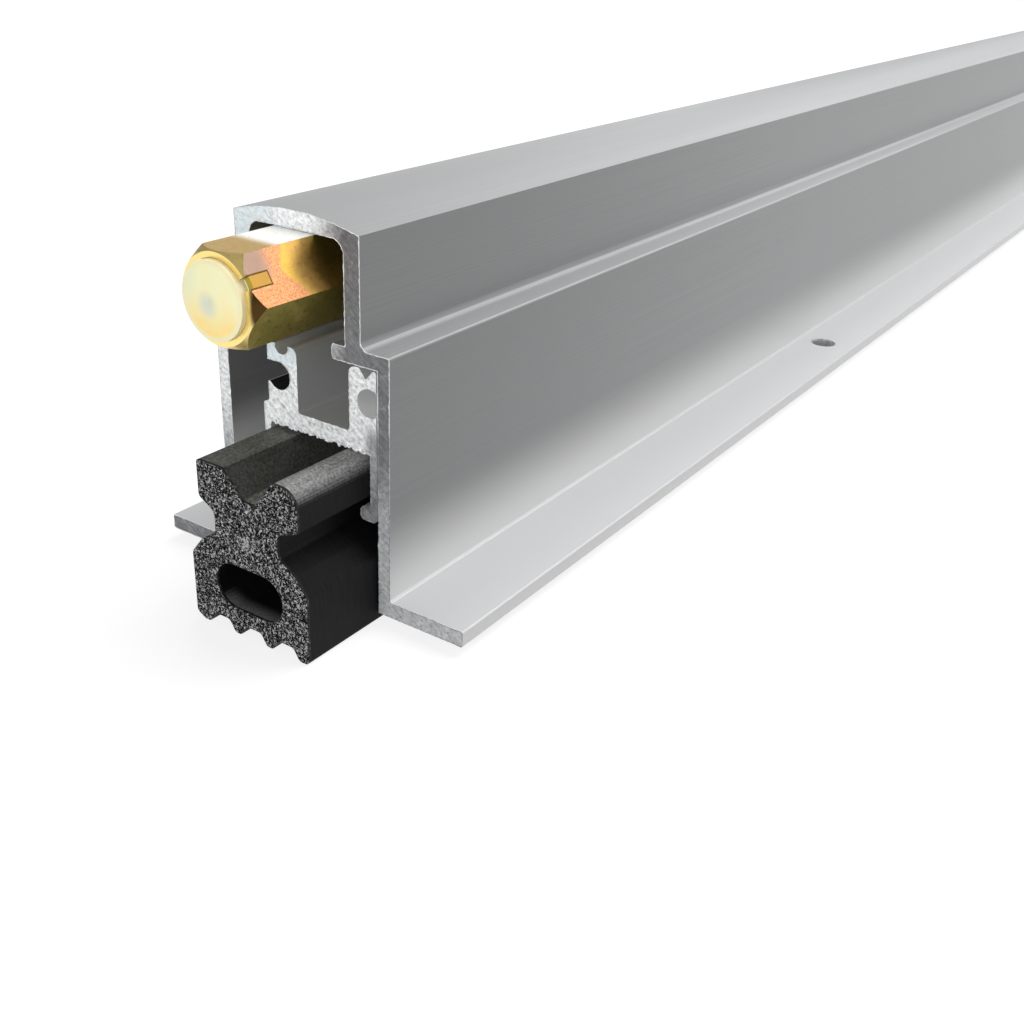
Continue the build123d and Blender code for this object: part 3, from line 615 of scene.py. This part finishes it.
def open_cells(shape, faces, inward):
    """Sinks the cells of the foam into a cut end, and marks their walls for the material, the pits as painted
    shade
    """
    wall = shape.verts.layers.float["cell_wall"]
    vertices = list(dict.fromkeys(vertex for face in faces for vertex in face.verts))
    inside = set(faces)
    border = [v for v in vertices if any(face not in inside for face in v.link_faces)]
    rim = kdtree.KDTree(len(border))
    for index, vertex in enumerate(border):
        rim.insert(vertex.co, index)
    rim.balance()
    for vertex in vertices:
        place = vertex.co / MM
        distances, points = noise.voronoi(place / CELL_SIZE)
        opening = min(max((distances[1] - distances[0]) / CELL_OPENING, 0.0), 1.0)
        depth = opening * (0.55 + 0.45 * noise.cell(points[0] * 7.3))
        skin = min(max((rim.find(vertex.co)[2] / MM - SKIN_RIM) / SKIN_RIM, 0.0), 1.0)
        away = (Vector((0, place.y, place.z)) - SCUFF_PLACE).length / SCUFF_SIZE
        scuffed = min(1.0, 0.25 + away * away)
        depth *= skin * scuffed
        grey = 0.5 + 0.5 * noise.noise(place * 2.6)
        # Painted shade: the deeper a pit, the darker it is marked
        vertex[wall] = (1.0 - min(depth * 1.9, 1.0)) * (0.8 + 0.2 * grey) * (0.66 + 0.34 * skin)
        vertex.co.x += inward * depth * CELL_DEPTH * MM


def make_seal():
    """The sponge strip as the solid has it, with its two ends cut open"""
    node = frame["nodes"]["seal_strip"]
    shape = bmesh.new()
    shape.from_mesh(node.data)
    shape.verts.layers.float.new("cell_wall")
    bmesh.ops.remove_doubles(shape, verts=shape.verts, dist=MERGE_DISTANCE * MM)
    for place, inward, step in ((seal_low.x, 1, NEAR_SQUARES), (seal_high.x, -1, FAR_SQUARES)):
        flat = end_faces(shape, place)
        edges = dict.fromkeys(edge for face in flat for edge in face.edges)
        inner = [edge for edge in edges if all(face in flat for face in edge.link_faces)]
        bmesh.ops.dissolve_limit(shape, angle_limit=0.01, verts=[], edges=inner)
        open_cells(shape, cut_squares(shape, end_faces(shape, place), step * MM), inward)
    bmesh.ops.triangulate(shape, faces=shape.faces)
    for face in shape.faces:
        face.smooth = abs(face.normal.x) < 0.05
    for edge in shape.edges:
        edge.smooth = edge.is_manifold and edge.calc_face_angle(0) < math.radians(SMOOTH_ANGLE)
    piece = new_piece("sponge_seal", shape, "sponge_rubber", "drop")
    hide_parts("seal_strip")


def make_spring(node):
    """Coil with closed ends between a washer that moves and a guide block behind it that stays"""
    low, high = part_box(node)
    wire = SPRING_WIRE * MM / 2
    coil = (high.z - low.z) / 2 - wire
    start, end = low.x + wire, high.x - wire
    turns = round((end - start) / (SPRING_PITCH * MM))
    shape = bmesh.new()
    ring = bmesh.ops.create_circle(shape, segments=WIRE_SIDES, radius=wire)["verts"]
    turned = Matrix.Rotation(math.pi / 2, 4, "X")
    bmesh.ops.transform(shape, verts=ring, matrix=Matrix.Translation((start, 0, rod_height + coil)) @ turned)
    last = shape.edges[:]
    seats = [(1, 0.0), (turns, end - start), (1, 0.0)]
    for count, length in seats:
        steps = count * STEPS_A_TURN
        found = bmesh.ops.spin(shape, geom=last, cent=(0, 0, rod_height), axis=(1, 0, 0),
                               dvec=(length / steps, 0, 0), angle=count * math.tau, steps=steps)
        last = [part for part in found["geom_last"] if isinstance(part, bmesh.types.BMEdge)]
    rims = [edge for edge in shape.edges if edge.is_boundary]
    bmesh.ops.holes_fill(shape, edges=rims, sides=WIRE_SIDES + 1)
    bmesh.ops.recalc_face_normals(shape, faces=shape.faces)
    for face in shape.faces:
        face.smooth = True
    piece = new_piece(node + "_coil", shape, "spring_steel", "case")
    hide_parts(node)
    length = (high.x - low.x) / MM
    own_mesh(piece)


def make_cut_rim(node, body):
    """Ragged bright rim that the saw raised round a cut end"""
    low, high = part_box(node)
    shape = bmesh.new()
    shape.from_mesh(frame["nodes"][node].data)
    bmesh.ops.remove_doubles(shape, verts=shape.verts, dist=MERGE_DISTANCE * MM)
    others = [face for face in shape.faces
              if face.normal.x > -0.99 or abs(face.calc_center_median().x - low.x) > 0.01 * MM]
    bmesh.ops.delete(shape, geom=others, context="FACES")
    rim = set(bmesh.ops.inset_region(shape, faces=shape.faces, thickness=RIM_WIDTH * MM, use_boundary=True,
                                     use_even_offset=True)["faces"])
    bmesh.ops.delete(shape, geom=[face for face in shape.faces if face not in rim], context="FACES")
    for _ in range(RIM_PASSES):
        edges = [edge for edge in shape.edges if edge.calc_length() > RIM_STEP * MM]
        bmesh.ops.subdivide_edges(shape, edges=edges, cuts=1, use_grid_fill=True)
    raised = bmesh.ops.extrude_face_region(shape, geom=shape.faces[:])["geom"]
    for vertex in (part for part in raised if isinstance(part, bmesh.types.BMVert)):
        place = vertex.co / MM
        height = 0.5 + 0.5 * noise.noise(place * 2.2) + 0.35 * noise.noise(place * 6.0)
        vertex.co.x -= max(height, 0.05) * RIM_HEIGHT * MM
        vertex.co += noise.noise_vector(place * 4.0) * Vector((0, 1, 1)) * RIM_WANDER * MM
        vertex.co.y = min(max(vertex.co.y, low.y), high.y)
        vertex.co.z = min(max(vertex.co.z, low.z), high.z)
    bmesh.ops.recalc_face_normals(shape, faces=shape.faces)
    new_piece(node + "_cut_rim", shape, "mill_aluminium", body)


def make_burrs():
    """Ragged swarf that the saw left along the lower edge of the drop bar's web"""
    chance = random.Random(SEED)
    shape = bmesh.new()
    for index in range(BURR_COUNT):
        share = index / BURR_COUNT
        across = BURR_RIGHT + (BURR_LEFT - BURR_RIGHT) * share + chance.uniform(-BURR_STRAY, BURR_STRAY)
        size = chance.uniform(*BURR_SIZES) * MM
        along = bar_end + chance.uniform(-0.02, 0.12) * MM
        height = BURR_HEIGHT * MM + chance.uniform(-0.12, 0.16) * MM
        stretch = (chance.uniform(0.4, 0.9), chance.uniform(0.8, 1.7), chance.uniform(0.5, 1.1), 1)
        tilt = Matrix.Rotation(chance.uniform(-0.6, 0.6), 4, "X")
        place = Matrix.Translation((along, across * MM, height)) @ tilt @ Matrix.Diagonal(stretch)
        lump = bmesh.ops.create_icosphere(shape, subdivisions=1, radius=size, matrix=place)["verts"]
        for vertex in lump:
            vertex.co += noise.noise_vector(vertex.co / MM * 4.0) * size * 0.35
    new_piece("saw_burrs", shape, "mill_aluminium", "drop")


def make_camera():
    """Camera at the photograph's place and angle"""
    data = bpy.data.cameras.new("camera")
    data.sensor_fit = "HORIZONTAL"
    data.sensor_width = SENSOR
    data.lens = FOCAL_LENGTH
    data.clip_start = 1 * MM
    camera = bpy.data.objects.new("camera", data)
    bpy.context.scene.collection.objects.link(camera)
    right, up = CAMERA_RIGHT.normalized(), CAMERA_UP.normalized()
    back = right.cross(up)
    turned = Matrix((right, up, back)).transposed().to_4x4()
    place = Vector((near_end, 0, 0)) + CAMERA_FROM_END * MM
    camera.matrix_world = Matrix.Translation(place) @ turned
    bpy.context.scene.camera = camera


def make_floor():
    """Pale floor, white to the eye and in reflections, which keeps the object's shadow"""
    mesh = bpy.data.meshes.new("floor")
    shape = bmesh.new()
    bmesh.ops.create_grid(shape, x_segments=1, y_segments=1, size=FLOOR_SIZE)
    shape.to_mesh(mesh)
    shape.free()
    floor = bpy.data.objects.new("floor", mesh)
    bpy.context.scene.collection.objects.link(floor)
    made = bpy.data.materials.new("pale_floor")
    made.use_nodes = True
    tree = made.node_tree
    tree.nodes.clear()
    seen = 0.0
    for ray in ("Is Camera Ray", "Is Glossy Ray", "Is Transmission Ray"):
        kind = add(tree, "LightPath", out=ray)
        seen = add(tree, "Math", {0: seen, 1: kind}, operation="ADD", use_clamp=True)
    glow = add(tree, "Math", {0: seen, 1: FLOOR_GLOW}, operation="MULTIPLY")
    paint = add(tree, "BsdfDiffuse", {"Color": FLOOR_PAINT})
    light = add(tree, "Emission", {"Strength": glow})
    both = add(tree, "AddShader", {0: paint, 1: light})
    surface = tree.nodes.new("ShaderNodeOutputMaterial").inputs["Surface"]
    tree.links.new(both, surface)
    mesh.materials.append(made)


def area_light(name, place, aim, side, watts):
    """Soft square lamp at a place, turned to a point, both in metres"""
    data = bpy.data.lights.new(name, "AREA")
    data.shape = "SQUARE"
    data.size = side
    data.energy = watts
    lamp = bpy.data.objects.new(name, data)
    bpy.context.scene.collection.objects.link(lamp)
    lamp.location = place
    lamp.rotation_euler = (aim - place).to_track_quat("-Z", "Y").to_euler()
    lamp.visible_camera = False


def make_light():
    """Plain soft studio light: lamps above, before the cut end, behind and beside, and an even surround"""
    world = bpy.data.worlds.new("surround")
    world.use_nodes = True
    background = world.node_tree.nodes["Background"]
    background.inputs["Color"].default_value = colour("#ffffff")
    background.inputs["Strength"].default_value = SURROUND
    bpy.context.scene.world = world
    for name, (along, place, side, watts) in LAMPS.items():
        aim = Vector((near_end + along, 0, AIM_HEIGHT))
        area_light(name, aim + Vector(place), aim, side, watts)


noise.seed_set(SEED)
dress_nodes()
make_seal()
make_spring("return_spring_near")
make_spring("return_spring_far")
make_cut_rim("housing", "case")
make_cut_rim("drop_bar", "drop")
make_burrs()
make_camera()
make_floor()
make_light()
bpy.context.scene.view_settings.view_transform = "Standard"
